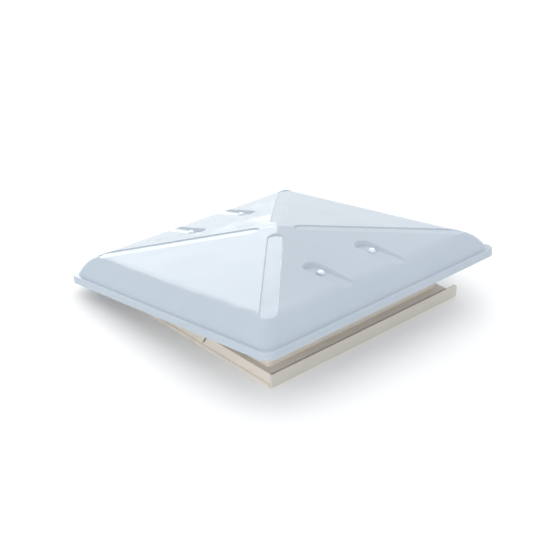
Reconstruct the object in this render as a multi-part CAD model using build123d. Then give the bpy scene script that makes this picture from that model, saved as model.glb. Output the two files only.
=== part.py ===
from build123d import *
from math import atan2, cos, degrees, hypot, radians, sin, sqrt, tan
import os

# Roof vent cover: a pyramid dome, hinged at the back, over a square base frame.
# +Z is up, Y=0 and X=0 are the middle of the roof opening, Z=0 is the roof.
# The dome opens at the front (-Y). It is built closed, then turned to REST_ANGLE.

# ---- base frame ----
BASE_X = 400.0            # outside width of the base frame
FRONT_SHORT = 1.0         # front skirt, short of half the width
BACK_SHORT = 4.0          # back skirt, short of half the width
SKIRT_H = 23.0            # height of the skirt and its ledge
SKIRT_WALL = 3.0
LEDGE_T = 2.5
SIDE_LEDGE = 10.0         # ledge depth at the sides
FRONT_LEDGE = 13.0        # ledge depth at the front
UPSTAND_H = 63.0
UPSTAND_WALL = 3.0
UPSTAND_CORNER_R = 7.0
FLANGE_W = 22.0           # inward flange on the roof
FLANGE_T = 3.0
BEAD_H = 5.0              # bead along the foot of the side skirts
BEAD_OUT = 1.2
SKIRT_EDGE_R = 1.0
SLIT_Y = -54.0            # weep slit in each side skirt
SLIT_W = 2.4
SLIT_DROP = 15.0
SLIT_SLANT = 33.0
ROOF_HOLE_R = 2.15
ROOF_HOLE_INSET = 9.0     # from the upstand's inner face
ROOF_HOLE_OFFSET = 100.0  # half the distance between holes along one side

# ---- drip rail along the front ----
RAIL_GAP = 3.0
RAIL_PLATE_T = 2.0
RAIL_FLOOR_T = 2.0
RAIL_OVERHANG = 24.0
RAIL_END_T = 2.0          # wall that closes the channel's other end
RAIL_TOP_R = 6.0
RAIL_FOOT_R = 3.0

# ---- seal ----
SEAL_GRIP = 8.0
SEAL_WALL = 1.5
SEAL_CROWN = 5.0

# ---- insect screen ----
SCREEN_LAP = 7.0          # how far the screen frame lies on the flange
SCREEN_BAR_W = 15.0
SCREEN_FRAME_T = 4.0
MESH_T = 0.4
SPLINE_W = 3.0
SPLINE_T = 1.6
BUTTON_INSET = 7.0        # pivot, from the upstand's inner face
BUTTON_REACH = 17.0
BUTTON_W = 8.0
BUTTON_T = 3.0
BUTTON_GAP = 0.3
RIVET_R = 2.0

# ---- dome ----
DOME_OVERHANG = 55.0      # rim beyond the base frame on each side
DOME_WALL = 3.0
DOME_Y = -4.0             # middle of the closed dome
DOME_DROP = 29.4          # foot of the closed dome's rim, below the upstand's top
LIP_H = 12.0
RIM_STEP = 7.0            # ledge between the lip and the dome's side
RIM_CORNER_R = 20.0
LIP_EDGE_R = 2.0
SIDE_LEAN = 24.0          # degrees from upright
SHOULDER_R = 52.0
SHOULDER_Z = 40.2         # where side and roof lines would meet
ROOF_FALL = 8.07          # degrees, from the apex to the shoulder
CORNER_R = 22.0
DOME_FOOT = -4.0          # the sides are drawn down to here, then cut at the rim
GROOVE_W = 29.8
GROOVE_DEPTH = 3.0        # below the ridge
GROOVE_START = 30.7       # along the diagonal from the middle
GROOVE_MARGIN = 56.6      # groove's end, from the rim's corner point
GROOVE_DRAFT = 45.0
POCKET_X = 57.0
POCKET_INSET = 22.0       # dome screws, from the upstand's inner face
POCKET_DEPTH = 5.0        # below the roof at the screw
POCKET_FALL = 5.8         # degrees that the floor falls outwards
POCKET_FLOOR_R = 10.5
POCKET_RUN_IN = 17.0      # middle of the pocket's inner end, behind the screw
POCKET_DRAFT = 45.0

# ---- hinge ----
HINGE_X = 110.0
HINGE_INSET = 13.0        # axis, from the upstand's inner face
HINGE_DROP = 16.0         # axis, below the upstand's top
REST_ANGLE = 7.6
FULL_ANGLE = 20.0
PIN_R = 2.5
RUNNING = 0.05            # radial clearance of pins in bores
BUSH_WALL = 1.5
KNUCKLE_R = 7.0
LUG_W = 12.0
EAR_T = 3.0
EAR_GAP = 0.3
BRACKET_T = 2.0
BRACKET_W = 42.0
BRACKET_H = 25.0

# ---- lift frame under the dome ----
BAR_H = 16.0
BAR_BACK = 6.0            # bar beyond its dome screws
BAR_FRONT = 14.0          # bar towards the middle
BAR_INSET = 15.0          # bar's end, from the upstand's inner face
SIDE_RAIL_T = 3.0
SIDE_RAIL_EDGE = 4.5      # rail above and below its slot
SCREW_R = 2.5
SCREW_PLAY = 0.3          # in the dome's holes
SCREW_HEAD_R = 5.0
SCREW_HEAD_H = 3.2
WASHER_R = 7.0
WASHER_T = 1.5
NUT_R = 4.6
NUT_H = 4.0
SMALL_R = 2.0
SMALL_HEAD_R = 3.4
SMALL_HEAD_H = 2.2
HANDLE_SPAN = 84.0
HANDLE_DROP = 18.0
HANDLE_BAR = 9.0
HANDLE_W = 12.0
HANDLE_SCREW_L = 12.0     # into each leg
RAIL_SCREW_L = 12.0       # into each bar end
RAIL_SCREW_STEP = 5.0     # from the bar's middle
LUG_BACK = 20.0           # lug, from the hinge axis towards the middle
LUG_FRONT = 3.0
LUG_LAP = 3.0             # lug, into the bar

# ---- stay arms ----
STAY_BACK = 160.0         # pivot on the base, in front of the hinge axis
STAY_DROP = 17.0          # and below it
STAY_L = 101.0
STAY_LOW_ANGLE = 20.0     # arm above level, dome closed
STAY_RATIO = 3.05         # degrees of arm for each degree of dome
STAY_T = 3.0
STAY_W = 14.0
STAY_GAP = 1.2            # washer room beside the arm
STUD_R = 3.0
SLOT_PLAY = 0.25
SLOT_ARCS = 4
STAY_PLAY = 0.3           # side play beside arm and rail
CLIP_T = 1.0
KNOB_R = 11.0
KNOB_T = 9.0
KNOB_LOBES = 6

FRONT_FACE_Y = FRONT_SHORT - BASE_X / 2
BACK_FACE_Y = BASE_X / 2 - BACK_SHORT
UP_OUT_X = BASE_X / 2 - SIDE_LEDGE
UP_OUT_Y = -FRONT_FACE_Y - FRONT_LEDGE
UP_IN_X = UP_OUT_X - UPSTAND_WALL
UP_IN_Y = UP_OUT_Y - UPSTAND_WALL
HOLE_X = UP_IN_X - ROOF_HOLE_INSET
HOLE_Y = UP_IN_Y - ROOF_HOLE_INSET
BUTTON_X = UP_IN_X - BUTTON_INSET
BUTTON_Y = UP_IN_Y - BUTTON_INSET
SCREEN_OUT_X = UP_IN_X - FLANGE_W + SCREEN_LAP
SCREEN_OUT_Y = UP_IN_Y - FLANGE_W + SCREEN_LAP
SCREEN_TOP = FLANGE_T + SCREEN_FRAME_T
HINGE_Y = UP_IN_Y - HINGE_INSET
HINGE_Z = UPSTAND_H - HINGE_DROP
STAY_Y = HINGE_Y - STAY_BACK
STAY_Z = HINGE_Z - STAY_DROP
DOME_SIZE = BASE_X + 2 * DOME_OVERHANG
DOME_Z = UPSTAND_H - DOME_DROP
DOME_ROOT = DOME_SIZE / 2 - RIM_STEP + LIP_H * tan(radians(SIDE_LEAN))
ROOF_PITCH = tan(radians(ROOF_FALL))
APEX_Z = SHOULDER_Z + ROOF_PITCH * (DOME_ROOT - SHOULDER_Z * tan(radians(SIDE_LEAN)))
GROOVE_END = sqrt(2) * DOME_SIZE / 2 - GROOVE_MARGIN
POCKET_Y = UP_IN_Y - POCKET_INSET
POCKET_FLOOR_Z = APEX_Z - ROOF_PITCH * POCKET_Y - POCKET_DEPTH
BAR_HALF_X = UP_IN_X - BAR_INSET
BAR_TOP = POCKET_FLOOR_Z - DOME_WALL
BAR_LOW = BAR_TOP - BAR_H
RAIL_IN_X = BAR_HALF_X
RAIL_OUT_X = RAIL_IN_X + SIDE_RAIL_T
ARM_IN_X = RAIL_OUT_X + STAY_GAP
ARM_OUT_X = ARM_IN_X + STAY_T
KNOB_OUT_X = RAIL_IN_X - STAY_GAP
HANDLE_Y = -POCKET_Y + (BAR_FRONT - BAR_BACK) / 2
KNOB_IN_X = KNOB_OUT_X - KNOB_T
HINGE_AXIS = Axis((0, HINGE_Y, HINGE_Z), (-1, 0, 0))


def block(x0, x1, y0, y1, z0, z1):
    """Box between two corners."""
    return Pos((x0 + x1) / 2, (y0 + y1) / 2, (z0 + z1) / 2) * Box(x1 - x0, y1 - y0, z1 - z0)


def rod_x(x0, x1, y, z, radius):
    """Round bar along X."""
    return Pos((x0 + x1) / 2, y, z) * Rot(0, 90, 0) * Cylinder(radius, abs(x1 - x0))


def rod_y(y0, y1, x, z, radius):
    """Round bar along Y."""
    return Pos(x, (y0 + y1) / 2, z) * Rot(90, 0, 0) * Cylinder(radius, abs(y1 - y0))


def rod_z(z0, z1, x, y, radius):
    """Round bar along Z."""
    return Pos(x, y, (z0 + z1) / 2) * Cylinder(radius, abs(z1 - z0))


def round_slab(half_x, half_y, z0, z1, radius):
    """Slab with rounded upright corners, in the middle of the opening."""
    outline = RectangleRounded(2 * half_x, 2 * half_y, radius)
    return extrude(Pos(0, 0, z0) * outline, z1 - z0)


def ring(half_x, half_y, width, z0, z1, radius):
    """Closed frame of one width, in the middle of the opening."""
    hole = round_slab(half_x - width, half_y - width, z0, z1, max(radius - width, 0.5))
    return round_slab(half_x, half_y, z0, z1, radius) - hole


def opened(shape):
    """Turn what rides on the dome from closed to its rest angle."""
    return shape.rotate(HINGE_AXIS, REST_ANGLE)


def on_dome(shape):
    """Place a shape from the dome's own frame, then open it."""
    return opened(Pos(0, DOME_Y, DOME_Z) * shape)


def seated(shape, end):
    """Tilt what is level at a pocket's screws to the pocket's falling floor."""
    axis = Axis((0, end * POCKET_Y, POCKET_FLOOR_Z), (1, 0, 0))
    return shape.rotate(axis, -end * POCKET_FALL)


def both_sides(shape):
    """The shape and its mirror image across X=0."""
    return shape, mirror(shape, about=Plane.YZ)


def save(shape, node):
    """Write one node."""
    export_step(shape, "parts/" + node + ".step")


# ---------------------------------------------------------------- base

def base_frame():
    """Skirt, ledge, upstand and roof flange in one moulding."""
    half_x = BASE_X / 2
    body = block(-half_x, half_x, FRONT_FACE_Y, BACK_FACE_Y, 0, SKIRT_H)
    body = fillet(body.edges().group_by(Axis.Z)[-1], SKIRT_EDGE_R)
    body -= block(-half_x + SKIRT_WALL, half_x - SKIRT_WALL, FRONT_FACE_Y + SKIRT_WALL,
                  BACK_FACE_Y - SKIRT_WALL, -1, SKIRT_H - LEDGE_T)
    for side in (-1, 1):
        edge = side * half_x
        body += block(*sorted((edge, edge + side * BEAD_OUT)), FRONT_FACE_Y, BACK_FACE_Y, 0, BEAD_H)
    body += round_slab(UP_OUT_X, UP_OUT_Y, 0, UPSTAND_H, UPSTAND_CORNER_R)
    body -= round_slab(UP_IN_X, UP_IN_Y, FLANGE_T, UPSTAND_H + 1, UPSTAND_CORNER_R - UPSTAND_WALL)
    body -= round_slab(UP_IN_X - FLANGE_W, UP_IN_Y - FLANGE_W, -1, UPSTAND_H, UPSTAND_WALL)
    for x, y in button_places():
        body += rod_z(FLANGE_T, SCREEN_TOP, x, y, BUTTON_W / 2)
        body -= rod_z(-1, SCREEN_TOP + 1, x, y, RIVET_R)
    for side in (-1, 1):
        for end in (-1, 1):
            body -= rod_z(-1, FLANGE_T + 1, side * HOLE_X, end * ROOF_HOLE_OFFSET, ROOF_HOLE_R)
            body -= rod_z(-1, FLANGE_T + 1, side * ROOF_HOLE_OFFSET, end * HOLE_Y, ROOF_HOLE_R)
        body -= weep_slit(side)
        body -= rod_x(*sorted((side * (UP_IN_X - 1), side * (UP_OUT_X + 1))), STAY_Y, STAY_Z, SCREW_R)
    for x, z in bracket_screw_places():
        body -= rod_y(UP_IN_Y - 1, UP_OUT_Y + 1, x, z, SMALL_R)
    return body


def weep_slit(side):
    """Slanted slit from the ledge down through one side skirt."""
    slit = Box(4 * SKIRT_WALL, SLIT_W, 2 * SLIT_DROP / cos(radians(SLIT_SLANT)))
    slit = Pos(side * BASE_X / 2, SLIT_Y, SKIRT_H) * Rot(SLIT_SLANT, 0, 0) * slit
    return slit & block(-BASE_X, BASE_X, -BASE_X, BASE_X, SKIRT_H - SLIT_DROP, SKIRT_H + 1)


def drip_rail():
    """Channel along the front skirt, running past it at one end."""
    back = FRONT_FACE_Y
    front = back - RAIL_GAP - RAIL_PLATE_T
    left = -BASE_X / 2
    right = BASE_X / 2 + RAIL_OVERHANG
    plate = block(left, right, front, front + RAIL_PLATE_T, 0, SKIRT_H)
    end_edges = plate.edges().filter_by(Axis.Y).group_by(Axis.X)[-1].sort_by(Axis.Z)
    plate = fillet(end_edges[0:1], RAIL_FOOT_R)
    top_edge = plate.edges().filter_by(Axis.Y).group_by(Axis.Z)[-1].sort_by(Axis.X)[-1:]
    plate = fillet(top_edge, RAIL_TOP_R)
    floor = block(left, BASE_X / 2, front, back, 0, RAIL_FLOOR_T)
    return plate + floor + block(left, left + RAIL_END_T, front, back, 0, SKIRT_H)


def roof_seal():
    """Rubber section pushed on to the top of the upstand."""
    half_x = UP_OUT_X + SEAL_WALL
    half_y = UP_OUT_Y + SEAL_WALL
    width = UPSTAND_WALL + 2 * SEAL_WALL
    top = UPSTAND_H + SEAL_CROWN
    body = ring(half_x, half_y, width, UPSTAND_H - SEAL_GRIP, top, UPSTAND_CORNER_R + SEAL_WALL)
    body = fillet(body.edges().group_by(Axis.Z)[-1], SEAL_CROWN / 2)
    low = UPSTAND_H - SEAL_GRIP - 1
    return body - ring(UP_OUT_X, UP_OUT_Y, UPSTAND_WALL, low, UPSTAND_H, UPSTAND_CORNER_R)


def spline_ring(z0, z1):
    """The groove that holds the mesh, and what is pressed into it."""
    inset = (SCREEN_BAR_W - SPLINE_W) / 2
    return ring(SCREEN_OUT_X - inset, SCREEN_OUT_Y - inset, SPLINE_W, z0, z1, SPLINE_W)


def screen_frame():
    """Flat frame that rests on the roof flange."""
    body = ring(SCREEN_OUT_X, SCREEN_OUT_Y, SCREEN_BAR_W, FLANGE_T, SCREEN_TOP, SPLINE_W)
    return body - spline_ring(SCREEN_TOP - SPLINE_T, SCREEN_TOP) - screen_mesh()


def screen_mesh():
    """Insect mesh, laid in a recess that ends at the spline."""
    inset = (SCREEN_BAR_W + SPLINE_W) / 2
    return round_slab(SCREEN_OUT_X - inset, SCREEN_OUT_Y - inset, SCREEN_TOP - MESH_T, SCREEN_TOP, 0.5)


def screen_spline():
    """Rubber cord pressed in on the mesh's edge."""
    return spline_ring(SCREEN_TOP - SPLINE_T, SCREEN_TOP)


def button_places():
    """Pivots of the turn buttons: front, back, left, right."""
    return ((0, -BUTTON_Y), (0, BUTTON_Y), (-BUTTON_X, 0), (BUTTON_X, 0))


def turn_button(x, y):
    """Button over the screen frame's edge, pointing to the middle."""
    low = SCREEN_TOP + BUTTON_GAP
    tail = BUTTON_W / 2
    length = BUTTON_REACH + tail
    outline = Pos(-length / 2 + tail, 0) * SlotOverall(length, BUTTON_W)
    wing = fillet(extrude(outline, BUTTON_T).edges().group_by(Axis.Z)[-1], 1)
    wing -= Cylinder(RIVET_R + RUNNING, 4 * BUTTON_T)
    return Pos(x, y, low) * Rot(0, 0, degrees(atan2(y, x))) * wing


def button_rivet(x, y):
    """Rivet that a turn button turns on."""
    top = SCREEN_TOP + 2 * BUTTON_GAP + BUTTON_T
    head = rod_z(top, top + 1.4, x, y, 1.7 * RIVET_R)
    head = fillet(head.edges().group_by(Axis.Z)[-1], 1)
    return rod_z(0.5, top, x, y, RIVET_R) + head


def bracket_screw_places():
    """Screws of both hinge brackets, as X and Z."""
    reach = BRACKET_W / 2 - 4.5
    middle = HINGE_Z + KNUCKLE_R - BRACKET_H / 2
    return [(side * HINGE_X + end * reach, middle) for side in (-1, 1) for end in (-1, 1)]


def hinge_bracket():
    """Two ears on a plate, screwed to the back of the upstand."""
    back = UP_IN_Y
    face = back - BRACKET_T
    body = block(HINGE_X - BRACKET_W / 2, HINGE_X + BRACKET_W / 2, face, back,
                 HINGE_Z + KNUCKLE_R - BRACKET_H, HINGE_Z + KNUCKLE_R)
    body = fillet(body.edges().filter_by(Axis.Y), 3)
    for side in (-1, 1):
        near = HINGE_X + side * (LUG_W / 2 + EAR_GAP)
        far = near + side * EAR_T
        span = sorted((near, far))
        body += rod_x(*span, HINGE_Y, HINGE_Z, KNUCKLE_R)
        body += block(*span, HINGE_Y, face, HINGE_Z - KNUCKLE_R, HINGE_Z + KNUCKLE_R)
    body -= rod_x(HINGE_X - LUG_W, HINGE_X + LUG_W, HINGE_Y, HINGE_Z, PIN_R)
    for x, z in bracket_screw_places()[2:]:
        body -= rod_y(face - 1, back + 1, x, z, SMALL_R)
    return body


def hinge_pin():
    """Headed pin through the ears and the lug."""
    reach = LUG_W / 2 + EAR_GAP + EAR_T
    head = rod_x(HINGE_X - reach - 2, HINGE_X - reach, HINGE_Y, HINGE_Z, PIN_R + 1.5)
    return rod_x(HINGE_X - reach, HINGE_X + reach + 1.5, HINGE_Y, HINGE_Z, PIN_R) + head


def bracket_screw(x, z):
    """Screw from inside, through the bracket and the upstand."""
    face = UP_IN_Y - BRACKET_T
    head = rod_y(face - SMALL_HEAD_H, face, x, z, SMALL_HEAD_R)
    head = fillet(head.edges().group_by(Axis.Y)[0], 1)
    return head + rod_y(face, UP_OUT_Y + 1, x, z, SMALL_R)


# ---------------------------------------------------------------- dome

def dome_body(inset):
    """Solid under the dome's sides and roof, moved in by inset."""
    lean = tan(radians(SIDE_LEAN))
    apex = APEX_Z - inset * hypot(1, ROOF_PITCH)
    root = DOME_ROOT - inset * hypot(1, lean)
    knee_z = (apex - root * ROOF_PITCH) / (1 - lean * ROOF_PITCH)
    knee = root - knee_z * lean
    low = root - DOME_FOOT * lean
    corners = [(-low, DOME_FOOT), (-knee, knee_z), (0, apex), (knee, knee_z), (low, DOME_FOOT)]
    outline = Polyline(*corners, close=True)
    face = make_face(Plane.XZ * outline)
    face = fillet(face.vertices().filter_by(lambda v: abs(v.Z - knee_z) < 0.01), SHOULDER_R - inset)
    across = extrude(face, DOME_SIZE, both=True)
    body = across & across.rotate(Axis.Z, 90)
    corners = body.edges().filter_by(lambda e: abs(abs(e.center().X) - abs(e.center().Y)) < 0.01)
    return fillet(corners, CORNER_R - inset)


def rim_block(inset, foot):
    """Solid inside the rim's lip, moved in by inset."""
    half = DOME_SIZE / 2 - inset
    body = round_slab(half, half, foot, LIP_H - inset, RIM_CORNER_R - inset)
    return body if inset else fillet(body.edges().group_by(Axis.Z)[-1], LIP_EDGE_R)


def tapered_slot(length, radius, draft, rise):
    """Slot along +X from the origin, wider towards its top."""
    grown = radius + rise * tan(radians(draft))
    floor = Pos(length / 2, 0) * SlotCenterToCenter(length, 2 * radius)
    roof = Pos(length / 2, 0, rise) * SlotCenterToCenter(length, 2 * grown)
    return loft([floor, roof], ruled=True)


def offset_radius(radius, draft, inset):
    """Floor radius of a tapered slot whose faces are all moved out by inset."""
    return radius + inset / cos(radians(draft)) - inset * tan(radians(draft))


def groove_cutters(inset):
    """Flat grooves along the four ridges."""
    fall = degrees(atan2(ROOF_PITCH, sqrt(2)))
    radius = GROOVE_W / 2 - GROOVE_DEPTH * tan(radians(GROOVE_DRAFT))
    length = GROOVE_END - GROOVE_START - 2 * radius
    slot = tapered_slot(length, offset_radius(radius, GROOVE_DRAFT, inset), GROOVE_DRAFT, 4 * GROOVE_DEPTH)
    slot = Rot(0, fall, 0) * Pos(GROOVE_START + radius, 0, 0) * slot
    slot = Pos(0, 0, APEX_Z - GROOVE_DEPTH - inset) * slot
    return [slot.rotate(Axis.Z, 45 + 90 * turn) for turn in range(4)]


def at_pockets(make):
    """Make one piece at each dome screw, seated on its pocket's floor."""
    return [seated(make(x, end * POCKET_Y), end) for end in (-1, 1) for x in (-POCKET_X, POCKET_X)]


def pocket_cutters(inset):
    """Pockets whose floor falls outwards and runs out at the shoulder."""
    radius = offset_radius(POCKET_FLOOR_R, POCKET_DRAFT, inset)
    run = DOME_SIZE / 2 - POCKET_Y + POCKET_RUN_IN + RIM_STEP
    slot = Pos(-POCKET_RUN_IN, 0, 0) * tapered_slot(run, radius, POCKET_DRAFT, APEX_Z - POCKET_FLOOR_Z)
    slot = Pos(0, 0, POCKET_FLOOR_Z - inset) * slot
    return at_pockets(lambda x, y: Pos(x, y, 0) * slot.rotate(Axis.Z, 90 if y > 0 else -90))


def screw_hole(x, y):
    """Clearance for a dome screw in the dome."""
    return rod_z(BAR_TOP - 1, POCKET_FLOOR_Z + 1, x, y, SCREW_R + SCREW_PLAY)


def dome_shell():
    """Formed sheet: sides, grooved roof, four screw pockets and a rim with a lip."""
    low = block(-DOME_SIZE, DOME_SIZE, -DOME_SIZE, DOME_SIZE, DOME_FOOT - 1, LIP_H / 2)
    outer = dome_body(0) - low + rim_block(0, 0)
    for cutter in groove_cutters(0) + pocket_cutters(0):
        outer -= cutter
    hollow = dome_body(DOME_WALL)
    for cutter in groove_cutters(DOME_WALL) + pocket_cutters(DOME_WALL):
        hollow -= cutter
    shell = outer - hollow - rim_block(DOME_WALL, -1)
    for hole in at_pockets(screw_hole):
        shell -= hole
    return shell


def lift_bar(end):
    """Level bar across the dome, under the pockets of one side."""
    span = sorted((end * (POCKET_Y + BAR_BACK), end * (POCKET_Y - BAR_FRONT)))
    body = block(-BAR_HALF_X, BAR_HALF_X, *span, BAR_LOW, BAR_TOP)
    body = chamfer(body.edges().filter_by(Axis.X).group_by(Axis.Z)[0], 2)
    for x in (-POCKET_X, POCKET_X):
        body -= rod_z(BAR_LOW - 1, BAR_TOP + 1, x, end * POCKET_Y, SCREW_R)
    for y, z in rail_screw_places(end):
        for side in (-1, 1):
            body -= rod_x(*sorted((side * (BAR_HALF_X - RAIL_SCREW_L), side * BAR_HALF_X)), y, z, SMALL_R)
    return body


def front_bar():
    """Lift bar that carries the pull handle."""
    body = lift_bar(-1)
    for x in (-HANDLE_SPAN / 2, HANDLE_SPAN / 2):
        body -= rod_z(BAR_LOW - 1, BAR_TOP + 1, x, HANDLE_Y, SMALL_R)
        body -= rod_z(BAR_TOP - SMALL_HEAD_H, BAR_TOP + 1, x, HANDLE_Y, SMALL_HEAD_R)
    return seated(body, -1)


def back_bar():
    """Lift bar with the two hinge lugs."""
    body = seated(lift_bar(1), 1)
    axis_y = HINGE_Y - DOME_Y
    axis_z = HINGE_Z - DOME_Z
    for side in (-1, 1):
        x0 = side * HINGE_X - LUG_W / 2
        x1 = side * HINGE_X + LUG_W / 2
        body += block(x0, x1, axis_y - LUG_BACK, axis_y + LUG_FRONT, axis_z, BAR_LOW + LUG_LAP)
        body += rod_x(x0, x1, axis_y, axis_z, KNUCKLE_R)
        body -= rod_x(x0 - 1, x1 + 1, axis_y, axis_z, PIN_R + RUNNING + BUSH_WALL)
    return body


def hinge_bush(side):
    """Plain bush pressed into one lug."""
    x0 = side * HINGE_X - LUG_W / 2
    x1 = side * HINGE_X + LUG_W / 2
    place = (HINGE_Y - DOME_Y, HINGE_Z - DOME_Z)
    return rod_x(x0, x1, *place, PIN_R + RUNNING + BUSH_WALL) - rod_x(x0, x1, *place, PIN_R + RUNNING)


def rail_screw_places(end):
    """Two screws at one end of a side rail, as Y and Z."""
    middle = end * (POCKET_Y + (BAR_BACK - BAR_FRONT) / 2)
    return [(middle + step * RAIL_SCREW_STEP, (BAR_LOW + BAR_TOP) / 2) for step in (-1, 1)]


def tip_place(angle):
    """Y and Z of the stay's tip in the dome's frame, with the dome at an angle from closed."""
    arm = radians(STAY_LOW_ANGLE + STAY_RATIO * angle)
    y = STAY_Y - STAY_L * cos(arm) - HINGE_Y
    z = STAY_Z + STAY_L * sin(arm) - HINGE_Z
    turn = radians(angle)
    back_y = y * cos(turn) - z * sin(turn)
    back_z = y * sin(turn) + z * cos(turn)
    return back_y + HINGE_Y - DOME_Y, back_z + HINGE_Z - DOME_Z


def cam_slot():
    """Curved slot that the stay's tip slides along, as a run of arcs."""
    step = FULL_ANGLE / SLOT_ARCS
    outline = Sketch()
    for arc in range(SLOT_ARCS):
        low, middle, high = (tip_place(step * (arc + share)) for share in (0, 0.5, 1))
        outline += SlotArc(ThreePointArc(low, middle, high), 2 * (STUD_R + SLOT_PLAY))
    return extrude(outline, SIDE_RAIL_T + 2)


def side_rail():
    """Slotted plate between the ends of the two bars."""
    reach = POCKET_Y + BAR_BACK
    heights = [tip_place(FULL_ANGLE * step / SLOT_ARCS)[1] for step in range(SLOT_ARCS + 1)]
    edge = STUD_R + SLOT_PLAY + SIDE_RAIL_EDGE
    body = block(RAIL_IN_X, RAIL_OUT_X, -reach, reach, min(heights) - edge, max(heights) + edge)
    for end in (-1, 1):
        span = sorted((end * reach, end * (reach - BAR_FRONT - BAR_BACK)))
        body += seated(block(RAIL_IN_X, RAIL_OUT_X, *span, BAR_LOW, BAR_TOP - 1), end)
        for y, z in rail_screw_places(end):
            body -= seated(rod_x(RAIL_IN_X - 1, RAIL_OUT_X + 1, y, z, SMALL_R), end)
    upright = Plane(origin=(RAIL_IN_X - 1, 0, 0), x_dir=(0, 1, 0), z_dir=(1, 0, 0))
    return body - upright * cam_slot()


def rail_screws():
    """Screws through the side rails into the bar ends."""
    screws = []
    for end in (-1, 1):
        for y, z in rail_screw_places(end):
            head = rod_x(RAIL_OUT_X, RAIL_OUT_X + SMALL_HEAD_H, y, z, SMALL_HEAD_R)
            head = fillet(head.edges().group_by(Axis.X)[-1], 1)
            screw = head + rod_x(RAIL_IN_X - RAIL_SCREW_L, RAIL_OUT_X, y, z, SMALL_R)
            screws += both_sides(seated(screw, end))
    return screws


def dome_screw(x, y):
    """Domed screw from a pocket through the bar."""
    low = POCKET_FLOOR_Z + WASHER_T
    head = rod_z(low, low + SCREW_HEAD_H, x, y, SCREW_HEAD_R)
    head = fillet(head.edges().group_by(Axis.Z)[-1], 0.8 * SCREW_HEAD_H)
    return head + rod_z(BAR_LOW - NUT_H - 1, low, x, y, SCREW_R)


def dome_washer(x, y):
    """Sealing washer under a dome screw."""
    body = rod_z(POCKET_FLOOR_Z, POCKET_FLOOR_Z + WASHER_T, x, y, WASHER_R)
    body = fillet(body.edges().group_by(Axis.Z)[-1], 0.5)
    return body - rod_z(POCKET_FLOOR_Z, POCKET_FLOOR_Z + WASHER_T, x, y, SCREW_R)


def hex_nut(radius, height, bore):
    """Hexagon nut standing on Z=0."""
    return extrude(RegularPolygon(radius, 6), height) - Pos(0, 0, height / 2) * Cylinder(bore, 2 * height)


def dome_nut(x, y):
    """Nut under the bar."""
    return Pos(x, y, BAR_LOW - NUT_H) * hex_nut(NUT_R, NUT_H, SCREW_R)


def pull_handle():
    """Two legs and a grip below the front bar."""
    half = HANDLE_SPAN / 2
    leg = HANDLE_W / 2
    low = BAR_LOW - HANDLE_DROP
    body = block(-half - leg, half + leg, HANDLE_Y - leg, HANDLE_Y + leg, low - HANDLE_BAR, BAR_LOW)
    body = fillet(body.edges().filter_by(Axis.Y).group_by(Axis.Z)[0], 6)
    gap = block(-half + leg, half - leg, HANDLE_Y - HANDLE_W, HANDLE_Y + HANDLE_W, low, BAR_LOW + 1)
    body -= fillet(gap.edges().filter_by(Axis.Y).group_by(Axis.Z)[0], 4)
    for x in (-half, half):
        body -= rod_z(BAR_LOW - HANDLE_SCREW_L, BAR_LOW + 1, x, HANDLE_Y, SMALL_R)
    return seated(body, -1)


def handle_screw(x):
    """Screw from the top of the front bar into one leg."""
    head = rod_z(BAR_TOP - SMALL_HEAD_H, BAR_TOP, x, HANDLE_Y, SMALL_HEAD_R)
    return seated(head + rod_z(BAR_LOW - HANDLE_SCREW_L, BAR_TOP - SMALL_HEAD_H, x, HANDLE_Y, SMALL_R), -1)


# ---------------------------------------------------------------- stays, right side (+X)

REST_ARM = STAY_LOW_ANGLE + STAY_RATIO * REST_ANGLE
TIP_Y = STAY_Y - STAY_L * cos(radians(REST_ARM))
TIP_Z = STAY_Z + STAY_L * sin(radians(REST_ARM))


def stay_arm():
    """Flat arm from the base pivot to the slotted rail."""
    outline = Pos(-STAY_L / 2, 0) * SlotCenterToCenter(STAY_L, STAY_W)
    outline -= Circle(STUD_R + RUNNING)
    outline -= Pos(-STAY_L, 0) * Circle(STUD_R)
    upright = Plane(origin=(ARM_IN_X, STAY_Y, STAY_Z), x_dir=(0, 1, 0), z_dir=(1, 0, 0))
    body = extrude(outline.rotate(Axis.Z, -REST_ARM), STAY_T)
    return upright * body


def stay_pivot():
    """Shouldered stud from the upstand's wall."""
    place = (STAY_Y, STAY_Z)
    body = rod_x(ARM_OUT_X + STAY_PLAY, UP_IN_X, *place, STUD_R + 3)
    body += rod_x(ARM_IN_X - STAY_PLAY - CLIP_T - 1, UP_IN_X, *place, STUD_R)
    return body + rod_x(UP_IN_X, UP_OUT_X + NUT_H + 0.5, *place, SCREW_R)


def pivot_nut():
    """Nut on the pivot stud, outside the upstand."""
    nut = hex_nut(NUT_R, NUT_H, SCREW_R).rotate(Axis.Y, 90)
    return Pos(UP_OUT_X, STAY_Y, STAY_Z) * nut


def pivot_clip():
    """Retaining ring that keeps the arm on its stud."""
    x1 = ARM_IN_X - STAY_PLAY
    ring_body = rod_x(x1 - CLIP_T, x1, STAY_Y, STAY_Z, STUD_R + 2.2)
    return ring_body - rod_x(x1 - CLIP_T, x1, STAY_Y, STAY_Z, STUD_R)


def tip_stud():
    """Stud fixed in the arm's tip; it slides in the rail and takes the knob."""
    head = rod_x(ARM_OUT_X, ARM_OUT_X + 2, TIP_Y, TIP_Z, STUD_R + 2)
    head = fillet(head.edges().group_by(Axis.X)[-1], 1)
    return head + rod_x(KNOB_IN_X + 2, ARM_OUT_X, TIP_Y, TIP_Z, STUD_R)


def slide_washer():
    """Washer between the arm and the rail."""
    span = (RAIL_OUT_X + STAY_PLAY, ARM_IN_X)
    return rod_x(*span, TIP_Y, TIP_Z, STUD_R + 3) - rod_x(*span, TIP_Y, TIP_Z, STUD_R)


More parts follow.
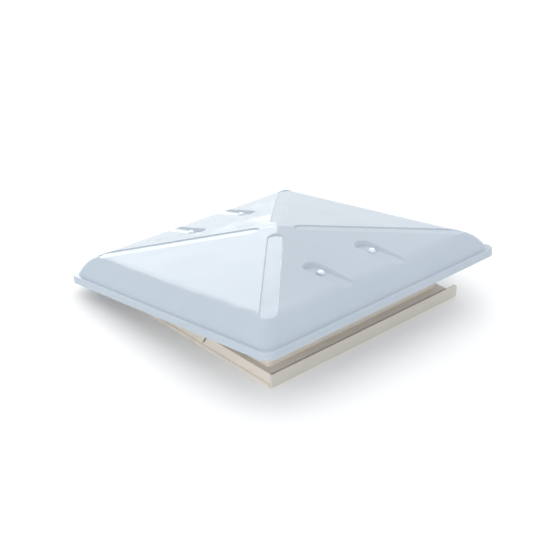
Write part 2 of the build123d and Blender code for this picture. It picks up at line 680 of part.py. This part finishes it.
def clamp_washer():
    """Washer between the knob and the rail."""
    span = (KNOB_OUT_X, RAIL_IN_X - STAY_PLAY)
    return rod_x(*span, TIP_Y, TIP_Z, STUD_R + 4) - rod_x(*span, TIP_Y, TIP_Z, STUD_R + RUNNING)


def clamp_knob():
    """Lobed knob that clamps the stay to the rail."""
    outline = Circle(0.8 * KNOB_R)
    for turn in range(KNOB_LOBES):
        outline += Rot(0, 0, 360 * turn / KNOB_LOBES) * Pos(0.72 * KNOB_R, 0) * Circle(0.28 * KNOB_R)
    body = extrude(outline, KNOB_T)
    body = fillet(body.edges().group_by(Axis.Z)[0], 1)
    body -= Pos(0, 0, KNOB_T / 2 + 1.5) * Cylinder(STUD_R + RUNNING, KNOB_T)
    upright = Plane(origin=(KNOB_IN_X, TIP_Y, TIP_Z), x_dir=(0, 1, 0), z_dir=(1, 0, 0))
    return upright * body


# ---------------------------------------------------------------- write the nodes

def build():
    """Write every node at the rest angle."""
    os.makedirs("parts", exist_ok=True)
    sides = ("right", "left")

    save(base_frame(), "base_frame")
    save(drip_rail(), "drip_rail")
    save(roof_seal(), "roof_seal")
    save(screen_frame(), "screen_frame")
    save(screen_mesh(), "screen_mesh")
    save(screen_spline(), "screen_spline")
    for place, name in zip(button_places(), ("front", "back", "left", "right")):
        save(turn_button(*place), "turn_button_" + name)
    save(Compound([button_rivet(*place) for place in button_places()]), "button_rivets")
    for name, bracket, pin in zip(sides, both_sides(hinge_bracket()), both_sides(hinge_pin())):
        save(bracket, "hinge_bracket_" + name)
        save(pin, "hinge_pin_" + name)
    save(Compound([bracket_screw(*place) for place in bracket_screw_places()]), "bracket_screws")

    save(on_dome(dome_shell()), "dome_shell")
    save(on_dome(front_bar()), "front_bar")
    save(on_dome(back_bar()), "back_bar")
    for side, name in zip((1, -1), sides):
        save(on_dome(hinge_bush(side)), "hinge_bush_" + name)
    for name, rail in zip(sides, both_sides(side_rail())):
        save(on_dome(rail), "side_rail_" + name)
    save(on_dome(Compound(rail_screws())), "rail_screws")
    save(on_dome(Compound(at_pockets(dome_screw))), "dome_screws")
    save(on_dome(Compound(at_pockets(dome_washer))), "dome_washers")
    save(on_dome(Compound(at_pockets(dome_nut))), "dome_nuts")
    save(on_dome(pull_handle()), "pull_handle")
    handle_screws = [handle_screw(side * HANDLE_SPAN / 2) for side in (-1, 1)]
    save(on_dome(Compound(handle_screws)), "handle_screws")

    stay_parts = {"stay_arm": stay_arm(), "stay_pivot": stay_pivot(), "pivot_clip": pivot_clip(),
                  "tip_stud": tip_stud(), "slide_washer": slide_washer(),
                  "clamp_washer": clamp_washer(), "clamp_knob": clamp_knob()}
    for node, shape in stay_parts.items():
        for name, copy in zip(sides, both_sides(shape)):
            save(copy, node + "_" + name)
    save(Compound(list(both_sides(pivot_nut()))), "pivot_nuts")


build()
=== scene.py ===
from math import cos, radians, sin

import bpy
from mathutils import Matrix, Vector


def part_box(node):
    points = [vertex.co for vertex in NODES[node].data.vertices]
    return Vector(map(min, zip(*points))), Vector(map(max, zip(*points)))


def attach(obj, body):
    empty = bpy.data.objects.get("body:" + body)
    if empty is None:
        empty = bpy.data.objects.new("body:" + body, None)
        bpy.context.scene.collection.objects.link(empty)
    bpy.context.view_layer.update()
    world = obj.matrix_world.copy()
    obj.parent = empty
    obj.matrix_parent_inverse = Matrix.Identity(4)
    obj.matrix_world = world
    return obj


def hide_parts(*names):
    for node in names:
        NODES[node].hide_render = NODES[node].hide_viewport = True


bl_info = {
    "name": "Roof vent cover",
    "version": (1, 0, 0),
    "blender": (4, 5, 0),
    "location": "3D View > Sidebar > Roof vent",
    "description": "Finishes, insect mesh and studio for a caravan roof vent cover",
    "category": "Object",
}

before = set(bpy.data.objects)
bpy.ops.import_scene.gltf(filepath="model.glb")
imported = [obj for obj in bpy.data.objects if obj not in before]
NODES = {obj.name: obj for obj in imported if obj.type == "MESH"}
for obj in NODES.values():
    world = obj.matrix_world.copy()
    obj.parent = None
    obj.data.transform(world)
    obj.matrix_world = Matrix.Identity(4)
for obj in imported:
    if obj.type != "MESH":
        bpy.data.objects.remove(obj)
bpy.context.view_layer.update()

# a noise's usual values lie between these two
NOISE_LOW, NOISE_HIGH = 0.3, 0.7
# the part of a noise's range where one colour turns into the other
MOTTLE_FROM, MOTTLE_TO = 0.35, 0.65
SENSOR_WIDTH = 36.0
FAR_CLIP = 100.0


# ---------------------------------------------------------------- settings

def colour(name, description, default):
    """A colour setting."""
    return bpy.props.FloatVectorProperty(name=name, description=description, default=default,
                                         subtype="COLOR", size=3, min=0, max=1)


def length(name, description, default):
    """A length setting, in metres."""
    return bpy.props.FloatProperty(name=name, description=description, default=default,
                                   subtype="DISTANCE", unit="LENGTH", min=0)


def angle(name, description, default):
    """An angle setting, given in degrees and kept in radians."""
    return bpy.props.FloatProperty(name=name, description=description, default=radians(default),
                                   subtype="ANGLE", unit="ROTATION")


def factor(name, description, default, top=1.0):
    """A plain share or strength."""
    return bpy.props.FloatProperty(name=name, description=description, default=default,
                                   subtype="FACTOR", min=0, max=top)


def point(name, description, default):
    """A point, in metres."""
    return bpy.props.FloatVectorProperty(name=name, description=description, default=default,
                                         subtype="TRANSLATION", unit="LENGTH", size=3)


def power(name, description, default):
    """A light's power, in watts."""
    return bpy.props.FloatProperty(name=name, description=description, default=default,
                                   subtype="POWER", unit="POWER", min=0)


class FinishSettings(bpy.types.PropertyGroup):
    """Colours of the finishes."""

    dome: colour("Dome", "Opal formed sheet", (0.39, 0.445, 0.50))
    dome_shade: colour("Dome shade", "Slightly denser patches of the sheet", (0.375, 0.43, 0.482))
    base: colour("Base", "Beige moulding of the base frame", (0.67, 0.615, 0.545))
    base_shade: colour("Base shade", "Darker mottling of the base", (0.64, 0.585, 0.515))
    # the drip rail's tone is darker than the base beige as painted shade for its front face, which gets
    # less light
    rail: colour("Drip rail", "Beige drip rail darkened as painted shade", (0.575, 0.54, 0.49))
    trim: colour("Trim", "Pale moulding of the inner parts", (0.62, 0.59, 0.52))
    rubber: colour("Rubber", "Seal and spline", (0.022, 0.022, 0.024))
    steel: colour("Steel", "Zinc plated steel", (0.62, 0.62, 0.61))
    aluminium: colour("Aluminium", "Satin anodised parts", (0.66, 0.67, 0.68))
    mesh: colour("Mesh", "Insect mesh wires", (0.10, 0.10, 0.105))
    knob: colour("Knob", "Black textured plastic", (0.018, 0.018, 0.02))
    washer: colour("Washer", "Grey sealing washers", (0.33, 0.36, 0.39))
    nylon: colour("Nylon", "Bushes and slide washers", (0.7, 0.69, 0.65))
    nylon_shade: colour("Nylon shade", "Darker mottling of the nylon", (0.66, 0.65, 0.6))
    cap: colour("Screw heads", "White coated screw heads", (0.74, 0.79, 0.84))


class SizeSettings(bpy.types.PropertyGroup):
    """Sizes of the pieces that are modelled here."""

    wire_pitch: length("Wire pitch", "Distance between the mesh's wires", 0.002)
    wire_width: length("Wire width", "Thickness of one wire", 0.0002)


class StageSettings(bpy.types.PropertyGroup):
    """Camera and lights."""

    azimuth: angle("Azimuth", "Camera's turn about the object, 0 looks along +Y", -42.34)
    elevation: angle("Elevation", "Camera's height above the horizon", 27.21)
    distance: length("Distance", "Camera to its target", 1.7843)
    lens: bpy.props.FloatProperty(name="Lens", description="Focal length on a 36 mm sensor",
                                  default=69.62, subtype="DISTANCE_CAMERA", unit="CAMERA")
    target: point("Target", "Point the camera looks at", (-0.01125, -0.004, 0.04598))
    sky: colour("Sky", "Colour of the soft surrounding light", (0.97, 0.985, 1.0))
    sky_strength: factor("Sky strength", "Strength of the surrounding light", 1.25, 5)
    floor: colour("Floor", "Pale floor", (0.93, 0.93, 0.93))
    floor_size: length("Floor size", "Width of the floor", 30.0)
    light_target: point("Light target", "Point the lights face", (0, 0, 0.08))
    key_place: point("Key place", "Middle of the large light behind the hinge", (0.95, 2.2, 0.84))
    key_size: length("Key size", "Width of the large light", 1.45)
    key_power: power("Key power", "Power of the large light", 12)
    side_place: point("Side place", "Middle of the small light at the left", (-1.9, -0.4, 0.55))
    side_size: length("Side size", "Width of the small light", 0.8)
    side_power: power("Side power", "Power of the small light", 6)


# ---------------------------------------------------------------- material helpers

class Finish:
    """A principled material with short calls for its node tree."""

    def __init__(self, name, base_colour, roughness, metallic=0.0):
        self.material = bpy.data.materials.new(name)
        self.material.use_nodes = True
        self.tree = self.material.node_tree
        self.shader = self.tree.nodes["Principled BSDF"]
        self.shader.inputs["Base Color"].default_value = (*base_colour, 1)
        self.shader.inputs["Roughness"].default_value = roughness
        self.shader.inputs["Metallic"].default_value = metallic
        coordinates = self.tree.nodes.new("ShaderNodeTexCoord")
        self.place = coordinates.outputs["Object"]
        self.height = None

    def link(self, output, target):
        """Join one output to one input."""
        self.tree.links.new(output, target)

    def stretched(self, scale):
        """Object coordinates scaled differently along each axis."""
        mapping = self.tree.nodes.new("ShaderNodeMapping")
        mapping.inputs["Scale"].default_value = scale
        self.link(self.place, mapping.inputs["Vector"])
        return mapping.outputs["Vector"]

    def noise(self, scale, detail=2.0, roughness=0.5, place=None):
        """Noise on object coordinates."""
        node = self.tree.nodes.new("ShaderNodeTexNoise")
        node.inputs["Scale"].default_value = scale
        node.inputs["Detail"].default_value = detail
        node.inputs["Roughness"].default_value = roughness
        self.link(place or self.place, node.inputs["Vector"])
        return node.outputs["Fac"]

    def ranged(self, value, low, high):
        """Stretch a noise value from its usual range to low..high."""
        node = self.tree.nodes.new("ShaderNodeMapRange")
        node.inputs["From Min"].default_value = NOISE_LOW
        node.inputs["From Max"].default_value = NOISE_HIGH
        node.inputs["To Min"].default_value = low
        node.inputs["To Max"].default_value = high
        self.link(value, node.inputs["Value"])
        return node.outputs["Result"]

    def mottle(self, value, first, second):
        """Base colour between two colours."""
        ramp = self.tree.nodes.new("ShaderNodeValToRGB")
        ramp.color_ramp.elements[0].position = MOTTLE_FROM
        ramp.color_ramp.elements[0].color = (*first, 1)
        ramp.color_ramp.elements[1].position = MOTTLE_TO
        ramp.color_ramp.elements[1].color = (*second, 1)
        self.link(value, ramp.inputs["Fac"])
        self.link(ramp.outputs["Color"], self.shader.inputs["Base Color"])

    def gloss(self, value, low, high):
        """Roughness that varies with a noise value."""
        self.link(self.ranged(value, low, high), self.shader.inputs["Roughness"])

    def bump(self, value, depth, strength=1.0):
        """Add one layer of relief, depth in metres."""
        node = self.tree.nodes.new("ShaderNodeBump")
        node.inputs["Distance"].default_value = depth
        node.inputs["Strength"].default_value = strength
        self.link(value, node.inputs["Height"])
        if self.height:
            self.link(self.height, node.inputs["Normal"])
        self.height = node.outputs["Normal"]
        self.link(self.height, self.shader.inputs["Normal"])


def paint(finish, *names):
    """Give CAD nodes one material."""
    for name in names:
        slots = NODES[name].data.materials
        slots.clear()
        slots.append(finish.material)


def both(*names):
    """The right and left node of each name."""
    return [name + side for name in names for side in ("_right", "_left")]


def shaded(tone, share):
    """A colour made lighter or darker."""
    return [share * part for part in tone]


def finishes():
    """The finish settings of the scene."""
    return bpy.context.scene.roofvent_finishes


def clear_selection():
    """Leave nothing selected."""
    if bpy.context.mode != "OBJECT":
        bpy.ops.object.mode_set(mode="OBJECT")
    bpy.ops.object.select_all(action="DESELECT")


# ---------------------------------------------------------------- finishes

def opal_sheet():
    """Gloss opal plastic with faint forming marks."""
    tones = finishes()
    finish = Finish("opal sheet", tones.dome, roughness=0.12)
    finish.shader.inputs["IOR"].default_value = 1.49
    finish.shader.inputs["Subsurface Weight"].default_value = 0.15
    finish.shader.inputs["Subsurface Radius"].default_value = (0.8, 0.9, 1.0)
    finish.shader.inputs["Subsurface Scale"].default_value = 0.006
    finish.mottle(finish.noise(scale=5.0, detail=3), tones.dome_shade, tones.dome)
    finish.gloss(finish.noise(scale=40.0, detail=4), low=0.09, high=0.16)
    finish.bump(finish.noise(scale=14.0, detail=1), depth=0.0012)
    finish.bump(finish.noise(scale=700.0, detail=2), depth=0.00002)
    return finish


def moulding(name, light, dark, grain=1800.0, low=0.38, high=0.5):
    """Satin injection moulding with a spark-eroded grain."""
    finish = Finish(name, light, roughness=0.45)
    finish.mottle(finish.noise(scale=22.0, detail=5), dark, light)
    finish.gloss(finish.noise(scale=90.0, detail=3), low=low, high=high)
    finish.bump(finish.noise(scale=grain, detail=2), depth=0.00003)
    finish.bump(finish.noise(scale=9.0, detail=1), depth=0.0003)
    return finish


def rubber(name, tone, low=0.55, high=0.75):
    """Matt rubber with bloom and fine pits."""
    finish = Finish(name, tone, roughness=0.6)
    finish.mottle(finish.noise(scale=60.0, detail=5), tone, shaded(tone, 2.2))
    finish.gloss(finish.noise(scale=150.0, detail=3), low=low, high=high)
    finish.bump(finish.noise(scale=2500.0, detail=3), depth=0.00004)
    return finish


def plated_steel():
    """Zinc plated steel with a faint spangle and drawn lines."""
    tone = finishes().steel
    finish = Finish("zinc plated steel", tone, roughness=0.3, metallic=1.0)
    finish.mottle(finish.noise(scale=350.0, detail=4), shaded(tone, 0.82), tone)
    finish.gloss(finish.noise(scale=500.0, detail=4), low=0.22, high=0.42)
    lines = finish.stretched((3000, 300, 300))
    finish.bump(finish.noise(scale=1.0, detail=2, place=lines), depth=0.000006)
    return finish


def anodised():
    """Satin anodised aluminium with lines along Y."""
    tone = finishes().aluminium
    finish = Finish("anodised aluminium", tone, roughness=0.35, metallic=1.0)
    streaks = finish.stretched((900, 25, 2500))
    finish.mottle(finish.noise(scale=1.0, detail=3, place=streaks), shaded(tone, 0.88), tone)
    finish.gloss(finish.noise(scale=120.0, detail=3), low=0.28, high=0.4)
    lines = finish.stretched((900, 25, 4000))
    finish.bump(finish.noise(scale=1.0, detail=3, place=lines), depth=0.000008)
    return finish


def mesh_wire():
    """Dark coated aluminium wire."""
    tone = finishes().mesh
    finish = Finish("mesh wire", tone, roughness=0.45, metallic=0.6)
    finish.mottle(finish.noise(scale=80.0, detail=3), tone, shaded(tone, 1.6))
    finish.gloss(finish.noise(scale=300.0, detail=2), low=0.35, high=0.55)
    return finish


# ---------------------------------------------------------------- pieces

class PieceOperator:
    """Shared settings of the operators."""

    bl_options = {"REGISTER", "UNDO"}


class DomeOperator(PieceOperator, bpy.types.Operator):
    """Finish the dome, its screws and their washers"""

    bl_idname = "roofvent.dome"
    bl_label = "Dome"

    def execute(self, context):
        paint(opal_sheet(), "dome_shell")
        cap = finishes().cap
        heads = moulding("coated screw heads", cap, shaded(cap, 0.95), grain=2500, low=0.2, high=0.3)
        paint(heads, "dome_screws")
        paint(rubber("sealing washers", finishes().washer), "dome_washers")
        return {"FINISHED"}


class BaseOperator(PieceOperator, bpy.types.Operator):
    """Finish the base frame, the drip rail and the seal"""

    bl_idname = "roofvent.base"
    bl_label = "Base"

    def execute(self, context):
        tones = finishes()
        paint(moulding("beige moulding", tones.base, tones.base_shade), "base_frame")
        # the drip rail's darker tone is painted shade for its front face
        paint(moulding("drip rail moulding with painted shade", tones.rail, shaded(tones.rail, 0.96)), "drip_rail")
        paint(rubber("seal rubber", tones.rubber), "roof_seal")
        return {"FINISHED"}


class ScreenOperator(PieceOperator, bpy.types.Operator):
    """Finish the insect screen and its turn buttons"""

    bl_idname = "roofvent.screen"
    bl_label = "Insect screen"

    def execute(self, context):
        tone = finishes().trim
        trim = moulding("screen trim", tone, shaded(tone, 0.94))
        buttons = ["turn_button_" + side for side in ("front", "back", "left", "right")]
        paint(trim, "screen_frame", *buttons)
        paint(rubber("spline rubber", shaded(finishes().rubber, 2)), "screen_spline")
        return {"FINISHED"}


class LiftFrameOperator(PieceOperator, bpy.types.Operator):
    """Finish the bars, rails and handle under the dome"""

    bl_idname = "roofvent.lift_frame"
    bl_label = "Lift frame"

    def execute(self, context):
        tone = finishes().trim
        paint(moulding("bar moulding", tone, shaded(tone, 0.94)), "front_bar", "back_bar", "pull_handle")
        paint(anodised(), *both("side_rail", "stay_arm"))
        nylon = moulding("nylon", finishes().nylon, finishes().nylon_shade)
        paint(nylon, *both("hinge_bush", "slide_washer"))
        tone = finishes().knob
        paint(moulding("black knob", tone, shaded(tone, 1.5), grain=900), *both("clamp_knob"))
        return {"FINISHED"}


class FastenerOperator(PieceOperator, bpy.types.Operator):
    """Finish the hinge brackets, pins, screws, studs, nuts and clips"""

    bl_idname = "roofvent.fasteners"
    bl_label = "Fasteners"

    def execute(self, context):
        steel = plated_steel()
        paint(steel, "bracket_screws", "rail_screws", "handle_screws")
        paint(steel, "dome_nuts", "pivot_nuts", "button_rivets")
        paint(steel, *both("hinge_bracket", "hinge_pin"))
        paint(steel, *both("stay_pivot", "pivot_clip", "tip_stud", "clamp_washer"))
        return {"FINISHED"}


class InsectMeshOperator(PieceOperator, bpy.types.Operator):
    """Lay the wires of the insect mesh in both directions"""

    bl_idname = "roofvent.insect_mesh"
    bl_label = "Insect mesh"

    def execute(self, context):
        low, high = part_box("screen_mesh")
        sizes = context.scene.roofvent_sizes
        wires = [lay_wires(low, high, axis, sizes) for axis in (0, 1)]
        clear_selection()
        for wire in wires:
            wire.select_set(True)
        context.view_layer.objects.active = wires[0]
        bpy.ops.object.join()
        mesh = context.view_layer.objects.active
        mesh.name = "insect_mesh"
        mesh.data.materials.clear()
        mesh.data.materials.append(mesh_wire().material)
        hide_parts("screen_mesh")
        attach(mesh, "base")
        return {"FINISHED"}


def lay_wires(low, high, axis, sizes):
    """One layer of parallel wires; axis 0 wires run along X."""
    across = 1 - axis
    span = high - low
    count = int(span[across] / sizes.wire_pitch) - 1
    first = (low[across] + high[across] - (count - 1) * sizes.wire_pitch) / 2
    place = (low + high) / 2
    place[across] = first
    place[2] = low[2] + sizes.wire_width * (0.5 + axis)
    clear_selection()
    bpy.ops.mesh.primitive_cube_add(size=1, location=(0, 0, 0))
    wire = bpy.context.active_object
    scale = Vector((sizes.wire_width,) * 3)
    scale[axis] = span[axis]
    bpy.ops.object.mode_set(mode="EDIT")
    bpy.ops.transform.resize(value=scale)
    bpy.ops.transform.translate(value=place)
    bpy.ops.object.mode_set(mode="OBJECT")
    row = wire.modifiers.new("row", "ARRAY")
    row.use_relative_offset = False
    row.use_constant_offset = True
    row.constant_offset_displace = [sizes.wire_pitch * (number == across) for number in range(3)]
    row.count = count
    bpy.ops.object.modifier_apply(modifier=row.name)
    return wire


# ---------------------------------------------------------------- stage

class StageOperator(PieceOperator, bpy.types.Operator):
    """Lay the floor and set up the light and the camera"""

    bl_idname = "roofvent.stage"
    bl_label = "Stage"

    def execute(self, context):
        stage = context.scene.roofvent_stage
        add_floor(stage)
        add_sky(stage)
        soft_light("key", stage.key_place, stage.key_size, stage.key_power)
        soft_light("side", stage.side_place, stage.side_size, stage.side_power)
        add_camera(stage)
        context.scene.view_settings.view_transform = "Standard"
        return {"FINISHED"}


def add_floor(stage):
    """Plain matt floor under the vent."""
    clear_selection()
    bpy.ops.mesh.primitive_plane_add(size=stage.floor_size, location=(0, 0, 0))
    floor = bpy.context.active_object
    floor.name = "floor"
    plain = Finish("floor", stage.floor, roughness=0.9)
    plain.shader.inputs["Specular IOR Level"].default_value = 0.1
    floor.data.materials.append(plain.material)


def add_sky(stage):
    """Even light from all round."""
    world = bpy.data.worlds.new("soft sky")
    world.use_nodes = True
    background = world.node_tree.nodes["Background"]
    background.inputs["Color"].default_value = (*stage.sky, 1)
    background.inputs["Strength"].default_value = stage.sky_strength
    bpy.context.scene.world = world


def soft_light(name, location, size, watts):
    """Square area light that faces the middle of the dome."""
    clear_selection()
    bpy.ops.object.light_add(type="AREA", location=location)
    lamp = bpy.context.active_object
    lamp.name = name
    lamp.data.size = size
    lamp.data.energy = watts
    aim = Vector(bpy.context.scene.roofvent_stage.light_target) - Vector(location)
    lamp.rotation_euler = aim.to_track_quat("-Z", "Y").to_euler()


def add_camera(stage):
    """Camera on a sphere about its target."""
    turn, rise = stage.azimuth, stage.elevation
    back = Vector((sin(turn) * cos(rise), -cos(turn) * cos(rise), sin(rise)))
    target = Vector(stage.target)
    clear_selection()
    bpy.ops.object.camera_add(location=target + back * stage.distance)
    camera = bpy.context.active_object
    camera.rotation_euler = (-back).to_track_quat("-Z", "Y").to_euler()
    camera.data.lens = stage.lens
    camera.data.sensor_width = SENSOR_WIDTH
    camera.data.clip_end = FAR_CLIP
    bpy.context.scene.camera = camera


# ---------------------------------------------------------------- panel and main

STEPS = ("stage", "dome", "base", "screen", "insect_mesh", "lift_frame", "fasteners")


class RoofVentPanel(bpy.types.Panel):
    """Settings and steps of the roof vent cover"""

    bl_idname = "ROOFVENT_PT_main"
    bl_label = "Roof vent cover"
    bl_space_type = "VIEW_3D"
    bl_region_type = "UI"
    bl_category = "Roof vent"

    def draw(self, context):
        layout = self.layout
        for settings in (context.scene.roofvent_sizes, context.scene.roofvent_finishes,
                         context.scene.roofvent_stage):
            box = layout.box()
            for name in settings.bl_rna.properties.keys():
                if name not in ("rna_type", "name"):
                    box.prop(settings, name)
        for step in STEPS:
            layout.operator(f"roofvent.{step}")


CLASSES = (FinishSettings, SizeSettings, StageSettings, StageOperator, DomeOperator, BaseOperator,
           ScreenOperator, InsectMeshOperator, LiftFrameOperator, FastenerOperator, RoofVentPanel)


def register():
    """Add the classes and the scene's settings."""
    for item in CLASSES:
        bpy.utils.register_class(item)
    bpy.types.Scene.roofvent_finishes = bpy.props.PointerProperty(type=FinishSettings)
    bpy.types.Scene.roofvent_sizes = bpy.props.PointerProperty(type=SizeSettings)
    bpy.types.Scene.roofvent_stage = bpy.props.PointerProperty(type=StageSettings)


def unregister():
    """Take the settings and classes away again."""
    del bpy.types.Scene.roofvent_stage
    del bpy.types.Scene.roofvent_sizes
    del bpy.types.Scene.roofvent_finishes
    for item in reversed(CLASSES):
        bpy.utils.unregister_class(item)


def main():
    """Run every step in order."""
    register()
    for step in STEPS:
        getattr(bpy.ops.roofvent, step)()


if __name__ == "__main__":
    main()
